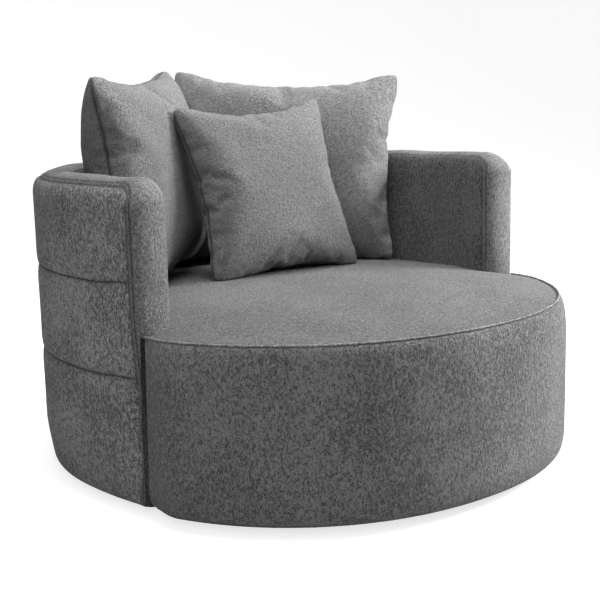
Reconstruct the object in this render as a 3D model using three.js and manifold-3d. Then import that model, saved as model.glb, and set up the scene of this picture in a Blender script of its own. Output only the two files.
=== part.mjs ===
// A round cuddle chair: a crowned drum seat that turns on a hidden swivel, a low padded wall
// that forms both arms and the back, two loose back pillows and a smaller one in front of them.
// Millimetres, +Z up, the front toward -Y. The origin is on the floor under the middle.
import * as THREE from 'three';
import { mergeVertices } from 'three/addons/utils/BufferGeometryUtils.js';
import Module from 'manifold-3d';

const wasm = await Module();
wasm.setup();

// Clearance between pieces that touch
const clearance = 0.3;

// Seat, seen from above a superellipse
const seatHalfWidth = 562;
const seatHalfDepth = 566;
const seatExponent = 2.13;
const seamInset = 13;
const seatSeamHeight = 351;
const crownRise = 40;
const seatTuck = 33;
const tuckLead = 9.3;
const tuckLag = 0.7;

// Wall that forms the arms and the back, placed from the seat's widest outline
const wallSideInset = 18;
const wallBackReach = 32;
const wallDepth = 104;
const armReach = 163;
const outerBowRadius = 900;
const innerBowRadius = 2350;
const outerCornerRadius = 40;
const innerCornerRadius = 30;
const wallSeamHeight = 626;
const wallCrown = 14;
const upperChannelHeight = 444;
const lowerChannelHeight = 264;
const channelRise = 8;

// Upholstery
const floorGap = 8;
const coverThickness = 3;
const bandThickness = 24;
const bandTopInset = 17;
const bandBulge = 5;
const bandFootInset = 20;
const bandFootHeight = 90;
const bandShoulderHeight = 36;
const innerTopInset = 5;
const sideFoamThickness = 18;
const pipingRadius = 2.4;
const dustCoverThickness = 1.5;

// Timber
const boardThickness = 18;
const sideBoardThickness = 6;
const railWidth = 28;
const railThickness = 20;
const plinthFloorGap = 16;
const uprightWidth = 40;
const uprightThickness = 18;
const seatFoamDepth = 69;
const seatRingWidth = 105;
const postWidth = 36;

// Springs under the seat foam
const springWireRadius = 2;
const springAmplitude = 22;
const springPitch = 70;
const springBearing = 18;

// Swivel base
const glideRadius = 14;
const glideHeight = 8;
const glideCircleRadius = 240;
const baseBoardRadius = 280;
const dustCoverHoleMargin = 22;
const plateWidth = 180;
const plateThickness = 3;
const raceRadius = 68;
const raceWidth = 14;
const raceHeight = 9;
const boltRadius = 4;
const boltHeadRadius = 7;
const boltHeadHeight = 3.6;
const boltInset = 15;
const boltDepth = 14;

// Back pillows, a mirrored pair
const backPillowWidth = 553;
const backPillowHeight = 476;
const backPillowThickness = 176;
const backPillowDrawIn = 22;
const backPillowTopDip = 28;
const backPillowStandOff = 100;
const backPillowFootRise = 10.5;
const backPillowMiddleGap = 18;
const backPillowYaw = 41.2;
const backPillowLean = 6.5;

// Front pillow
const frontPillowWidth = 398;
const frontPillowHeight = 408;
const frontPillowThickness = 140;
const frontPillowDrawIn = 16;
const frontPillowX = 18;
const frontPillowForward = 181;
const frontPillowFootRise = 29.5;
const frontPillowYaw = -4.2;
const frontPillowLean = 19.3;
const frontPillowRoll = 0.9;

// How finely round shapes are cut
const backSteps = 24;
const armSteps = 2;
const cornerSteps = 3;
const seatSectors = 48;
const seatFrontSectors = 22;
const crownRings = 4;
const borderSteps = 6;
const pillowColumns = 14;
const pillowRows = 12;
const roundSides = 12;
const boltSides = 8;
const discSides = 32;
const pipingSides = 6;
const springBendSteps = 3;
const springCurveSegments = 2;

// Counts
const glideCount = 6;
const postCount = 6;
const springCount = 5;

// Shapes as shares: [share of height, share of bulge]
const bandBulgeShares = [
  [0, 1],
  [0.12, 0.3],
  [0.35, 0],
  [0.65, 0],
  [0.88, 0.3],
  [1, 1],
];
// Top of the upper band: [share of the shoulder's height, share of the inset]
const bandShoulderShares = [
  [0, 0],
  [0.55, 0.16],
  [0.82, 0.48],
  [1, 1],
];
// Foot of the lower band: [share of the foot's height, share of the foot's inset]
const bandFootShares = [
  [0, 1],
  [0.06, 0.75],
  [0.3, 0.55],
  [0.65, 0.3],
  [1, 0],
];
// Front of the seat: [share of the height from the floor gap to the seam, share of the inset]
const seatSideShares = [
  [0, 2.8],
  [0.018, 1.3],
  [0.06, 0.62],
  [0.13, 0.2],
  [0.3, 0],
  [0.73, 0],
  [0.83, 0.25],
  [0.91, 0.5],
  [1, 1],
];
// Uprights of the wall, at these shares of the way along the frame
const uprightShares = [0, 0.19, 0.345, 0.5, 0.655, 0.81, 1];
const crownExponent = 0.8;
const pillowEdgeExponent = 0.6;

// Colours
const fabric = { color: 0x6d6e70, roughness: 0.95, metalness: 0 };
const seamFabric = { color: 0x7c7d7f, roughness: 0.95, metalness: 0 };
const foam = { color: 0xd9cfae, roughness: 0.9, metalness: 0 };
const timber = { color: 0xb99566, roughness: 0.7, metalness: 0 };
const steel = { color: 0x8d9094, roughness: 0.4, metalness: 1 };
const plastic = { color: 0x1d1d1f, roughness: 0.6, metalness: 0 };
const dustCloth = { color: 0x18181a, roughness: 1, metalness: 0 };

// Places worked out from the sizes above
const toRadians = Math.PI / 180;
const rightAngle = Math.PI / 2;
const seamAngle = Math.PI / 4;
const wallRadius = seatHalfWidth - wallSideInset;
const wallInnerRadius = wallRadius - wallDepth;
const seatCentreY = -wallBackReach / 2;
const wallCentreY = seatCentreY + seatHalfDepth + wallBackReach - wallRadius;
const armFrontY = seatCentreY - armReach;
const armLength = wallCentreY - armFrontY;
const armFrontAngle = Math.atan2(wallRadius, armReach) / toRadians;
const frontTurnRadius = (Math.sin(seamAngle) * (outerCornerRadius + innerCornerRadius)) / 2;
const baseBoardBottom = glideHeight + clearance;
const lowerPlateBottom = baseBoardBottom + boardThickness + clearance;
const raceBottom = lowerPlateBottom + plateThickness + clearance;
const upperPlateBottom = raceBottom + raceHeight + clearance;
const bottomBoardBottom = upperPlateBottom + plateThickness + clearance;
const bottomBoardTop = bottomBoardBottom + boardThickness;
const bandBack = bandThickness + clearance;
const railBack = bandBack + railWidth;
const borderFoamDepth = frontTurnRadius - clearance;
const topRailTop = wallSeamHeight - frontTurnRadius - clearance;
const outerSeamSag = outerCornerRadius * (1 - Math.cos(seamAngle));
const frameFrontY = armFrontY + outerSeamSag + borderFoamDepth + clearance;
const sideFoamInset = coverThickness + clearance;
const sideBoardInset = sideFoamInset + sideFoamThickness + clearance;
const seatFrameInset = sideBoardInset + sideBoardThickness + clearance;
const seatRingTop = seatSeamHeight - seatFoamDepth;
const seatRingBottom = seatRingTop - boardThickness;
const innerBackY = wallCentreY + wallInnerRadius;
const seatRingHoleRadius = Math.min(wallInnerRadius, innerBackY) - seatRingWidth;
const seatFoamBottom = seatRingTop + 2 * springWireRadius + 2 * clearance;
const wallCutTop = wallSeamHeight + wallCrown;

const group = new THREE.Group();

function addPiece(name, geometry, look) {
  const mesh = new THREE.Mesh(geometry, new THREE.MeshStandardMaterial(look));
  mesh.name = name;
  group.add(mesh);
  return mesh;
}

// A closed solid, turned inside out where its faces point in
function closedGeometry(positions, triangles) {
  let volume = 0;
  const corner = (index) => new THREE.Vector3().fromArray(positions, 3 * index);
  for (let index = 0; index < triangles.length; index += 3) {
    const [first, second, third] = triangles.slice(index, index + 3).map(corner);
    volume += first.dot(second.cross(third));
  }
  const outward = volume > 0 ? triangles : triangles.slice().reverse();
  const geometry = new THREE.BufferGeometry();
  geometry.setAttribute('position', new THREE.Float32BufferAttribute(positions, 3));
  geometry.setIndex(outward);
  return geometry;
}

// Triangles of a flat outline, all turned the way the outline runs
function outlineTriangles(outline) {
  const direction = Math.sign(THREE.ShapeUtils.area(outline));
  return THREE.ShapeUtils.triangulateShape(outline, []).map(([first, second, third]) => {
    const corners = [outline[first], outline[second], outline[third]];
    const sameWay = Math.sign(THREE.ShapeUtils.area(corners)) === direction;
    return sameWay ? [first, second, third] : [first, third, second];
  });
}

// A solid through rings of points, closed by a flat end at each of its two last rings
function solidThroughRings(rings, firstOutline, lastOutline) {
  const count = rings[0].length;
  const triangles = [];
  for (let ring = 0; ring + 1 < rings.length; ring += 1) {
    for (let place = 0; place < count; place += 1) {
      const here = ring * count + place;
      const beside = ring * count + ((place + 1) % count);
      triangles.push(here, beside, beside + count);
      triangles.push(here, beside + count, here + count);
    }
  }
  for (const [first, second, third] of outlineTriangles(firstOutline)) {
    triangles.push(first, third, second);
  }
  const lastStart = (rings.length - 1) * count;
  for (const face of outlineTriangles(lastOutline)) {
    triangles.push(...face.map((index) => index + lastStart));
  }
  return closedGeometry(rings.flat().flatMap((point) => point.toArray()), triangles);
}

function toManifold(geometry) {
  const bare = geometry.clone();
  bare.deleteAttribute('normal');
  bare.deleteAttribute('uv');
  const merged = mergeVertices(bare);
  return new wasm.Manifold(new wasm.Mesh({
    numProp: 3,
    vertProperties: new Float32Array(merged.attributes.position.array),
    triVerts: new Uint32Array(merged.index.array),
  }));
}

function fromManifold(solid) {
  const mesh = solid.getMesh();
  const geometry = new THREE.BufferGeometry();
  geometry.setAttribute('position', new THREE.BufferAttribute(mesh.vertProperties, 3));
  geometry.setIndex(new THREE.BufferAttribute(mesh.triVerts, 1));
  return geometry;
}

function cut(geometry, ...tools) {
  const solid = tools.reduce((rest, tool) => rest.subtract(toManifold(tool)), toManifold(geometry));
  return fromManifold(solid);
}

function join(first, second) {
  return fromManifold(toManifold(first).add(toManifold(second)));
}

// An upright solid over a flat outline
function prism(outline, bottom, top) {
  const shape = new THREE.Shape(outline);
  const geometry = new THREE.ExtrudeGeometry(shape, { depth: top - bottom, bevelEnabled: false });
  return geometry.translate(0, 0, bottom);
}

// An upright round solid, its axis along Z
function disc(radius, bottom, top, sides, x = 0, y = 0) {
  const geometry = new THREE.CylinderGeometry(radius, radius, top - bottom, sides);
  geometry.rotateX(rightAngle);
  return geometry.translate(x, y, (top + bottom) / 2);
}

function block(width, depth, bottom, top, x = 0, y = 0) {
  return new THREE.BoxGeometry(width, depth, top - bottom).translate(x, y, (top + bottom) / 2);
}

// Seat plan

function smooth(share) {
  const held = THREE.MathUtils.clamp(share, 0, 1);
  return held * held * (3 - 2 * held);
}

// How far the seat's outline has turned in toward the front corners of the arms, from 0 to 1
function tuckShare(angle) {
  return smooth((Math.abs(angle) - armFrontAngle + tuckLead) / (tuckLead + tuckLag));
}

// A point of the seat's plan. The angle is in degrees from the front, and the inset is measured
// from the widest outline. Beside the arms the outline tucks in to meet their front corners.
function seatPoint(angle, inset) {
  const across = Math.sin(angle * toRadians);
  const along = Math.cos(angle * toRadians);
  const widthPart = (Math.abs(across) / (seatHalfWidth - inset)) ** seatExponent;
  const depthPart = (Math.abs(along) / (seatHalfDepth - inset)) ** seatExponent;
  const radius = (widthPart + depthPart) ** (-1 / seatExponent) - seatTuck * tuckShare(angle);
  return new THREE.Vector2(radius * across, seatCentreY - radius * along);
}

const sectorAngle = 360 / seatSectors;
const seatAngles = Array.from({ length: seatSectors }, (_, index) => sectorAngle * index - 180);

function seatOutline(inset) {
  return seatAngles.map((angle) => seatPoint(angle, inset));
}

// Height of the crowned seat at a share of the way from its middle to its seam
function crownHeight(share) {
  return seatSeamHeight + crownRise * (1 - share * share);
}

// The seam's inset, which fades out where the seat meets the arms
function seamInsetAt(angle) {
  return seamInset * (1 - tuckShare(angle));
}

// A solid round the front of the seat. The section gives [inset, height] for each angle.
function seatRibbon(sectionAt) {
  const rings = [];
  for (let sector = 0; sector <= seatFrontSectors; sector += 1) {
    const angle = sectorAngle * (sector - seatFrontSectors / 2);
    rings.push(sectionAt(angle).map(([inset, height]) => {
      const point = seatPoint(angle, inset);
      return new THREE.Vector3(point.x, point.y, height);
    }));
  }
  const endAngle = (sectorAngle * seatFrontSectors) / 2;
  const outline = sectionAt(endAngle).map(([inset, height]) => new THREE.Vector2(inset, height));
  return solidThroughRings(rings, outline, outline);
}

// A solid of the seat's plan between two surfaces, each a height for a share of the way from the
// middle to the edge
function seatDisc(edgeInsetAt, topHeight, bottomHeight) {
  const positions = [];
  const triangles = [];
  const surface = (heightAt) => {
    const start = positions.length / 3;
    positions.push(0, seatCentreY, heightAt(0));
    for (let ring = 1; ring <= crownRings; ring += 1) {
      const share = ring / crownRings;
      for (const angle of seatAngles) {
        const edge = seatPoint(angle, edgeInsetAt(angle));
        const y = seatCentreY + (edge.y - seatCentreY) * share;
        positions.push(edge.x * share, y, heightAt(share));
      }
    }
    return start;
  };
  const place = (start, ring, sector) => start + 1 + (ring - 1) * seatSectors + (sector % seatSectors);
  const top = surface(topHeight);
  const bottom = surface(bottomHeight);
  for (let sector = 0; sector < seatSectors; sector += 1) {
    triangles.push(top, place(top, 1, sector), place(top, 1, sector + 1));
    triangles.push(bottom, place(bottom, 1, sector + 1), place(bottom, 1, sector));
    for (let ring = 1; ring < crownRings; ring += 1) {
      const topCorners = [
        place(top, ring, sector),
        place(top, ring + 1, sector),
        place(top, ring + 1, sector + 1),
        place(top, ring, sector + 1),
      ];
      const shift = bottom - top;
      const [a, b, c, d] = topCorners;
      triangles.push(a, b, c, a, c, d);
      triangles.push(a + shift, c + shift, b + shift, a + shift, d + shift, c + shift);
    }
    const outer = place(top, crownRings, sector);
    const beside = place(top, crownRings, sector + 1);
    const under = place(bottom, crownRings, sector);
    const underBeside = place(bottom, crownRings, sector + 1);
    triangles.push(outer, under, underBeside, outer, underBeside, beside);
  }
  return closedGeometry(positions, triangles);
}

// Wall plan

const outerFace = {
  radius: wallRadius,
  bowRadius: outerBowRadius,
  cornerRadius: outerCornerRadius,
  side: 1,
};
const innerFace = {
  radius: wallInnerRadius,
  bowRadius: innerBowRadius,
  cornerRadius: innerCornerRadius,
  side: -1,
};

// Half width of a face of the wall, a distance in front of the wall's centre
function armHalfWidth(face, forward) {
  return face.radius - face.bowRadius + Math.sqrt(face.bowRadius ** 2 - forward ** 2);
}

// Stations along one face of the wall, from the left arm's front round the back to the right
// arm's. Each has its point, its outward normal, its turn (0, and 1 at the front seam) and its
// lift (0, and 1 at the front), with which the channels rise.
function wallPath(face, cornerAngle, grow = 0) {
  const half = [];
  const cornerForward = armLength - face.cornerRadius;
  const cornerX = armHalfWidth(face, cornerForward) - face.side * face.cornerRadius;
  const cornerY = armFrontY + face.cornerRadius;
  const add = (x, y, nx, ny, turn, lift) => {
    half.push({ x: x + grow * nx, y: y + grow * ny, nx, ny, turn, lift });
  };
  const steps = Math.round((cornerSteps * cornerAngle) / seamAngle);
  for (let step = steps; step > 0; step -= 1) {
    const turn = step / steps;
    const across = face.side * Math.cos(turn * cornerAngle);
    const along = -Math.sin(turn * cornerAngle);
    const x = cornerX + face.cornerRadius * across;
    add(x, cornerY + face.cornerRadius * along, across, along, turn, 1);
  }
  for (let step = armSteps; step > 0; step -= 1) {
    const forward = (cornerForward * step) / armSteps;
    const lift = smooth(2 * (step / armSteps) - 1);
    add(armHalfWidth(face, forward), wallCentreY - forward, face.side, 0, 0, lift);
  }
  for (let step = 0; step <= backSteps / 2; step += 1) {
    const angle = (2 * rightAngle * step) / backSteps;
    const across = Math.cos(angle);
    const along = Math.sin(angle);
    const x = face.radius * across;
    add(x, wallCentreY + face.radius * along, face.side * across, face.side * along, 0, 0);
  }
  const left = half.slice(0, -1).map((station) => ({ ...station, x: -station.x, nx: -station.nx }));
  return [...left, ...half.reverse()];
}

function insetPoint(station, depth) {
  return new THREE.Vector2(station.x - station.nx * depth, station.y - station.ny * depth);
}

const outerPath = wallPath(outerFace, seamAngle);
const innerPath = wallPath(innerFace, seamAngle);

// The whole wall seen from above, grown by a margin
function wallOutline(margin) {
  const outer = wallPath(outerFace, rightAngle, margin);
  const inner = wallPath(innerFace, rightAngle, margin);
  return [...outer, ...inner.reverse()].map((station) => insetPoint(station, 0));
}

const wallCutter = prism(wallOutline(clearance), 0, wallCutTop);

// Stations along a face for the pieces inside the wall, which stop behind the front padding
function frameStations(face, path) {
  const behind = path.filter((station) => station.turn === 0 && station.y > frameFrontY);
  const x = armHalfWidth(face, wallCentreY - frameFrontY);
  const end = { x, y: frameFrontY, nx: face.side, ny: 0 };
  return [{ ...end, x: -end.x, nx: -end.nx }, ...behind, end];
}

const outerFrame = frameStations(outerFace, outerPath);
const innerFrame = frameStations(innerFace, innerPath);

// The plan of a piece inside the wall, from points on its outer side and on its inner side
function framePlan(outerDepth, innerStations, innerDepth) {
  const outer = outerFrame.map((station) => insetPoint(station, outerDepth));
  const inner = innerStations.map((station) => insetPoint(station, innerDepth));
  return [...outer, ...inner.reverse()];
}

// How far the border strip has turned down at a station: the seam's height follows a quarter
// circle while its plan follows the arm's corner
function turnAngleAt(station) {
  return Math.asin(Math.min(1, Math.sin(station.turn * seamAngle) / Math.sin(seamAngle)));
}

// Where the border strip is sewn to a face: the seam moves out to the face as it turns down
function seamPoint(station, topInset) {
  const turnAngle = turnAngleAt(station);
  const point = insetPoint(station, topInset * Math.cos(turnAngle));
  const height = wallSeamHeight - frontTurnRadius * (1 - Math.cos(turnAngle));
  return new THREE.Vector3(point.x, point.y, height);
}

// A solid along one face of the wall. The section gives [depth, height] for each station.
function wallRibbon(path, sectionAt) {
  const sections = path.map(sectionAt);
  const rings = path.map((station, index) => sections[index].map(([depth, height]) => {
    const point = insetPoint(station, depth);
    return new THREE.Vector3(point.x, point.y, height);
  }));
  const outline = (section) => section.map(([depth, height]) => new THREE.Vector2(depth, height));
  return solidThroughRings(rings, outline(sections[0]), outline(sections[sections.length - 1]));
}

// Three padded bands on the wall's outer side

function channelHeight(height, station) {
  return height + channelRise * station.lift;
}

function bulgedFace(bottom, top, keep = () => true) {
  return bandBulgeShares.filter(([share]) => keep(share)).map(([share, bulge]) => {
    return [bandBulge * bulge, bottom + (top - bottom) * share];
  });
}

function lowerBand(station) {
  const top = channelHeight(lowerChannelHeight, station) - clearance / 2;
  const foot = bandFootShares.map(([height, inset]) => {
    return [bandFootInset * inset, floorGap + bandFootHeight * height];
  });
  const face = bulgedFace(floorGap, top, (share) => share > 1 / 2);
  return [...foot, ...face, [bandThickness, top], [bandThickness, floorGap]];
}

function middleBand(station) {
  const bottom = channelHeight(lowerChannelHeight, station) + clearance / 2;
  const top = channelHeight(upperChannelHeight, station) - clearance / 2;
  return [...bulgedFace(bottom, top), [bandThickness, top], [bandThickness, bottom]];
}

function upperBand(station) {
  const turnAngle = turnAngleAt(station);
  const topInset = bandTopInset * Math.cos(turnAngle);
  const bottom = channelHeight(upperChannelHeight, station) + clearance / 2;
  const top = wallSeamHeight - frontTurnRadius * (1 - Math.cos(turnAngle));
  const shoulderBottom = top - bandShoulderHeight;
  const face = bulgedFace(bottom, top, (share) => share < 1 / 2);
  const shoulder = bandShoulderShares.map(([height, inset]) => {
    return [topInset * inset, shoulderBottom + bandShoulderHeight * height];
  });
  return [
    ...face,
    ...shoulder,
    [topInset + coverThickness, top - coverThickness - clearance],
    [bandThickness, top - borderFoamDepth],
    [bandThickness, bottom],
  ];
}

addPiece('outer_band_bottom', wallRibbon(outerPath, lowerBand), fabric);
addPiece('outer_band_middle', wallRibbon(outerPath, middleBand), fabric);
addPiece('outer_band_top', wallRibbon(outerPath, upperBand), fabric);

// Cover of the wall's inner side
function innerCoverSection(station) {
  const turnAngle = turnAngleAt(station);
  const topInset = innerTopInset * Math.cos(turnAngle);
  const top = wallSeamHeight - frontTurnRadius * (1 - Math.cos(turnAngle));
  const shoulder = bandShoulderShares.map(([height, inset]) => {
    return [topInset * inset, top - bandShoulderHeight * (1 - height)];
  });
  return [
    [0, bottomBoardTop + clearance],
    ...shoulder,
    [topInset + coverThickness, top - coverThickness],
    [coverThickness, top - borderFoamDepth],
    [coverThickness, bottomBoardTop + clearance],
  ];
}

addPiece('wall_inner_cover', wallRibbon(innerPath, innerCoverSection), fabric);

// Border strip over the top and down the front of both arms, and the padding under it

function borderFrames(bottom) {
  const frames = outerPath.map((station, index) => {
    const outer = seamPoint(station, bandTopInset + clearance);
    const inner = seamPoint(innerPath[index], innerTopInset + clearance);
    const across = outer.clone().sub(inner).normalize();
    const forward = new THREE.Vector3(across.y, -across.x, 0);
    if (forward.y > 0) {
      forward.negate();
    }
    const turnAngle = turnAngleAt(station);
    const up = forward.multiplyScalar(Math.sin(turnAngle));
    up.z = Math.cos(turnAngle);
    const origin = outer.clone().add(inner).divideScalar(2);
    const frontCrown = Math.abs(origin.y - armFrontY);
    const crown = THREE.MathUtils.lerp(wallCrown, frontCrown, station.turn === 1 ? 1 : 0);
    return { origin, across, up, halfWidth: outer.distanceTo(inner) / 2, crown, turn: station.turn };
  });
  const lowered = (frame) => ({ ...frame, origin: frame.origin.clone().setZ(bottom) });
  return [lowered(frames[0]), ...frames, lowered(frames[frames.length - 1])];
}

function borderSolid(bottom, sectionAt) {
  const frames = borderFrames(bottom);
  const sections = frames.map(sectionAt);
  const rings = frames.map((frame, index) => sections[index].map(([across, up]) => {
    return frame.origin.clone().addScaledVector(frame.across, across).addScaledVector(frame.up, up);
  }));
  const outline = (section) => section.map(([across, up]) => new THREE.Vector2(across, up));
  return solidThroughRings(rings, outline(sections[0]), outline(sections[sections.length - 1]));
}

function borderArc(halfWidth, crown, drop) {
  return Array.from({ length: borderSteps + 1 }, (_, index) => {
    const share = (2 * index) / borderSteps - 1;
    return [share * halfWidth, crown * (1 - share * share) ** crownExponent - drop];
  });
}

function stripSection(frame) {
  const topHalf = frame.halfWidth - 2 * clearance;
  const underHalf = topHalf - coverThickness;
  return [
    ...borderArc(underHalf, frame.crown, coverThickness),
    ...borderArc(topHalf, frame.crown, 0).reverse(),
  ];
}

function borderFoamSection(frame) {
  const half = frame.halfWidth - 2 * clearance - coverThickness;
  const frontMitre = bandThickness * Math.sin(seamAngle);
  const mitre = THREE.MathUtils.lerp(bandThickness - bandTopInset, frontMitre, frame.turn);
  const outerSide = frame.halfWidth - mitre - 2 * clearance;
  return [
    ...borderArc(half, frame.crown, coverThickness + clearance),
    [outerSide, -mitre - 2 * clearance],
    [outerSide, -borderFoamDepth],
    [-half, -borderFoamDepth],
  ];
}

const wallPaddingBottom = bottomBoardTop + clearance;
addPiece('border_strip', borderSolid(wallPaddingBottom, stripSection), fabric);
addPiece('border_foam', borderSolid(wallPaddingBottom, borderFoamSection), foam);

// Timber frame of the wall and the foam on its inner side

const railPlan = framePlan(bandBack, outerFrame, railBack);
const wallFoamPlan = framePlan(railBack + clearance, innerFrame, coverThickness + clearance);
const topRailBottom = topRailTop - railThickness;
addPiece('wall_bottom_rail', prism(railPlan, plinthFloorGap, bottomBoardBottom - clearance), timber);
addPiece('wall_top_rail', prism(railPlan, topRailBottom, topRailTop), timber);
addPiece('wall_foam', prism(wallFoamPlan, wallPaddingBottom, topRailTop), foam);

uprightShares.forEach((share, index) => {
  const place = share * (outerFrame.length - 1);
  const before = outerFrame[Math.floor(place)];
  const after = outerFrame[Math.ceil(place)];
  const depth = bandBack + railWidth / 2;
  const point = insetPoint(before, depth).lerp(insetPoint(after, depth), place - Math.floor(place));
  const y = Math.max(point.y, frameFrontY + uprightWidth / 2);
  const x = y > point.y ? Math.sign(point.x) * (armHalfWidth(outerFace, wallCentreY - y) - depth) : point.x;
  const bottom = wallPaddingBottom;
  const top = topRailBottom - clearance;
  const geometry = new THREE.BoxGeometry(uprightThickness, uprightWidth, top - bottom);
  const mesh = addPiece(`wall_upright_${index + 1}`, geometry, timber);
  mesh.position.set(x, y, (bottom + top) / 2);
  mesh.rotation.z = y > wallCentreY ? Math.atan2(before.ny + after.ny, before.nx + after.nx) : 0;
});

// Seat: board, ring, posts and springs

const holeCutter = disc(
  seatRingHoleRadius,
  seatRingBottom - boardThickness,
  seatRingTop + boardThickness,
  discSides,
);
const seatBoardPlan = seatOutline(seatFrameInset);

function boltPlaces() {
  const reach = plateWidth / 2 - boltInset;
  return [[-reach, -reach], [reach, -reach], [reach, reach], [-reach, reach]];
}

function boltHoles(bottom, top) {
  const radius = boltRadius + clearance;
  return boltPlaces().map(([x, y]) => disc(radius, bottom, top, boltSides, x, y));
}

const wallBoardPlan = framePlan(bandBack, innerFrame, 0);
const seatBoard = prism(seatBoardPlan, bottomBoardBottom, bottomBoardTop);
const wallBoard = prism(wallBoardPlan, bottomBoardBottom, bottomBoardTop);
const innerBoardPlan = innerFrame.map((station) => insetPoint(station, coverThickness));
const innerBoard = prism(innerBoardPlan, bottomBoardBottom, bottomBoardTop);
const boltHoleTop = bottomBoardBottom + boltDepth + clearance;
addPiece(
  'bottom_board',
  cut(
    join(join(seatBoard, wallBoard), innerBoard),
    ...boltHoles(bottomBoardBottom - boltDepth, boltHoleTop),
  ),
  timber,
);
addPiece(
  'seat_ring',
  cut(prism(seatBoardPlan, seatRingBottom, seatRingTop), wallCutter, holeCutter),
  timber,
);

const postCircleRadius = seatRingHoleRadius + postWidth;
for (let index = 0; index < postCount; index += 1) {
  const angle = (2 * Math.PI * (index + 1 / 2)) / postCount;
  const x = postCircleRadius * Math.cos(angle);
  const y = postCircleRadius * Math.sin(angle);
  const bottom = bottomBoardTop + clearance;
  const top = seatRingBottom - clearance;
  const post = new THREE.BoxGeometry(postWidth, postWidth, top - bottom);
  const mesh = addPiece(`seat_post_${index + 1}`, post, timber);
  mesh.position.set(x, y, (bottom + top) / 2);
  mesh.rotation.z = angle;
}

const springSpacing = (2 * seatRingHoleRadius) / (springCount + 1);
const springSection = new THREE.Shape();
springSection.absarc(0, 0, springWireRadius, 0, 2 * Math.PI);
for (let index = 0; index < springCount; index += 1) {
  const x = springSpacing * (index - (springCount - 1) / 2);
  const halfLength = Math.sqrt(seatRingHoleRadius ** 2 - x ** 2) + springBearing;
  const bends = Math.round((2 * halfLength) / springPitch);
  const points = Array.from({ length: bends + 1 }, (_, bend) => {
    const sway = bend % 2 === 0 ? -springAmplitude : springAmplitude;
    const y = halfLength * ((2 * bend) / bends - 1);
    return new THREE.Vector3(x + sway, y, seatRingTop + springWireRadius + clearance);
  });
  const geometry = new THREE.ExtrudeGeometry(springSection, {
    steps: springBendSteps * bends,
    curveSegments: springCurveSegments,
    extrudePath: new THREE.CatmullRomCurve3(points),
  });
  addPiece(`seat_spring_${index + 1}`, geometry, steel);
}

// Seat: foam, covers and the board round the front

const seamClearance = pipingRadius + clearance;
const seatFoam = seatDisc(
  () => sideBoardInset,
  (share) => crownHeight(share) - coverThickness - clearance,
  () => seatFoamBottom,
);
const seatTopCover = seatDisc(
  (angle) => seamInsetAt(angle) + seamClearance,
  crownHeight,
  (share) => crownHeight(share) - coverThickness,
);
addPiece('seat_foam', cut(seatFoam, wallCutter), foam);
addPiece('seat_top_cover', cut(seatTopCover, wallCutter), fabric);

// The face round the front of the seat, a depth behind its surface. Above its middle it leans in
// to the seam, and below it turns under.
function seatSideFace(angle, depth, topHeight, bottomHeight) {
  const height = seatSeamHeight - floorGap;
  return seatSideShares.map(([up, inward]) => {
    const level = THREE.MathUtils.clamp(floorGap + height * up, bottomHeight, topHeight);
    const reach = up > 1 / 2 ? seamInsetAt(angle) : seamInset;
    return [reach * inward + depth, level];
  });
}

const sideCoverTop = seatSeamHeight - coverThickness - clearance;
const sideCover = seatRibbon((angle) => [
  ...seatSideFace(angle, coverThickness, sideCoverTop, floorGap + coverThickness),
  ...seatSideFace(angle, 0, sideCoverTop, floorGap).reverse(),
]);
addPiece('seat_side_cover', cut(sideCover, wallCutter), fabric);

const sideFoamBack = sideFoamInset + sideFoamThickness;
const sideFoam = seatRibbon((angle) => {
  const bottom = floorGap + coverThickness + clearance;
  const face = seatSideFace(angle, sideFoamInset, sideCoverTop, bottom).slice(1);
  return [...face, [sideFoamBack, sideCoverTop], [sideFoamBack, face[0][1]]];
});
addPiece('seat_side_foam', cut(sideFoam, wallCutter), foam);

const sideBoardBack = sideBoardInset + sideBoardThickness;
const sideBoard = seatRibbon(() => [
  [sideBoardInset, plinthFloorGap],
  [sideBoardInset, seatRingTop],
  [sideBoardBack, seatRingTop],
  [sideBoardBack, plinthFloorGap],
]);
addPiece('seat_side_board', cut(sideBoard, wallCutter), timber);

const piping = seatRibbon((angle) => Array.from({ length: pipingSides }, (_, index) => {
  const turn = (2 * Math.PI * index) / pipingSides;
  const inset = seamInsetAt(angle) + pipingRadius * Math.cos(turn);
  return [inset, seatSeamHeight + pipingRadius * Math.sin(turn)];
}));
addPiece('seat_piping', cut(piping, wallCutter), seamFabric);

// Cloth under the bottom board, open round the base
const dustCoverTop = plinthFloorGap - clearance;
const dustCover = join(
  prism(seatBoardPlan, dustCoverTop - dustCoverThickness, dustCoverTop),
  prism(wallBoardPlan, dustCoverTop - dustCoverThickness, dustCoverTop),
);
const dustCoverHole = disc(baseBoardRadius + dustCoverHoleMargin, 0, plinthFloorGap, discSides);
addPiece('dust_cover', cut(dustCover, dustCoverHole), dustCloth);

// Swivel base

const baseBoard = disc(baseBoardRadius, baseBoardBottom, baseBoardBottom + boardThickness, discSides);
const boltFloor = lowerPlateBottom - boltDepth;
addPiece(
  'base_board',
  cut(baseBoard, ...boltHoles(boltFloor - clearance, lowerPlateBottom + boltDepth)),
  timber,
);
for (let index = 0; index < glideCount; index += 1) {
  const angle = (2 * Math.PI * index) / glideCount - rightAngle;
  const x = glideCircleRadius * Math.cos(angle);
  const y = glideCircleRadius * Math.sin(angle);
  addPiece(`glide_${index + 1}`, disc(glideRadius, 0, glideHeight, roundSides, x, y), plastic);
}

const lowerPlate = block(plateWidth, plateWidth, lowerPlateBottom, lowerPlateBottom + plateThickness);
const upperPlate = block(plateWidth, plateWidth, upperPlateBottom, upperPlateBottom + plateThickness);
const plateHoles = boltHoles(baseBoardBottom, bottomBoardTop);
addPiece('swivel_lower_plate', cut(lowerPlate, ...plateHoles), steel);
addPiece('swivel_upper_plate', cut(upperPlate, ...plateHoles), steel);

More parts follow.
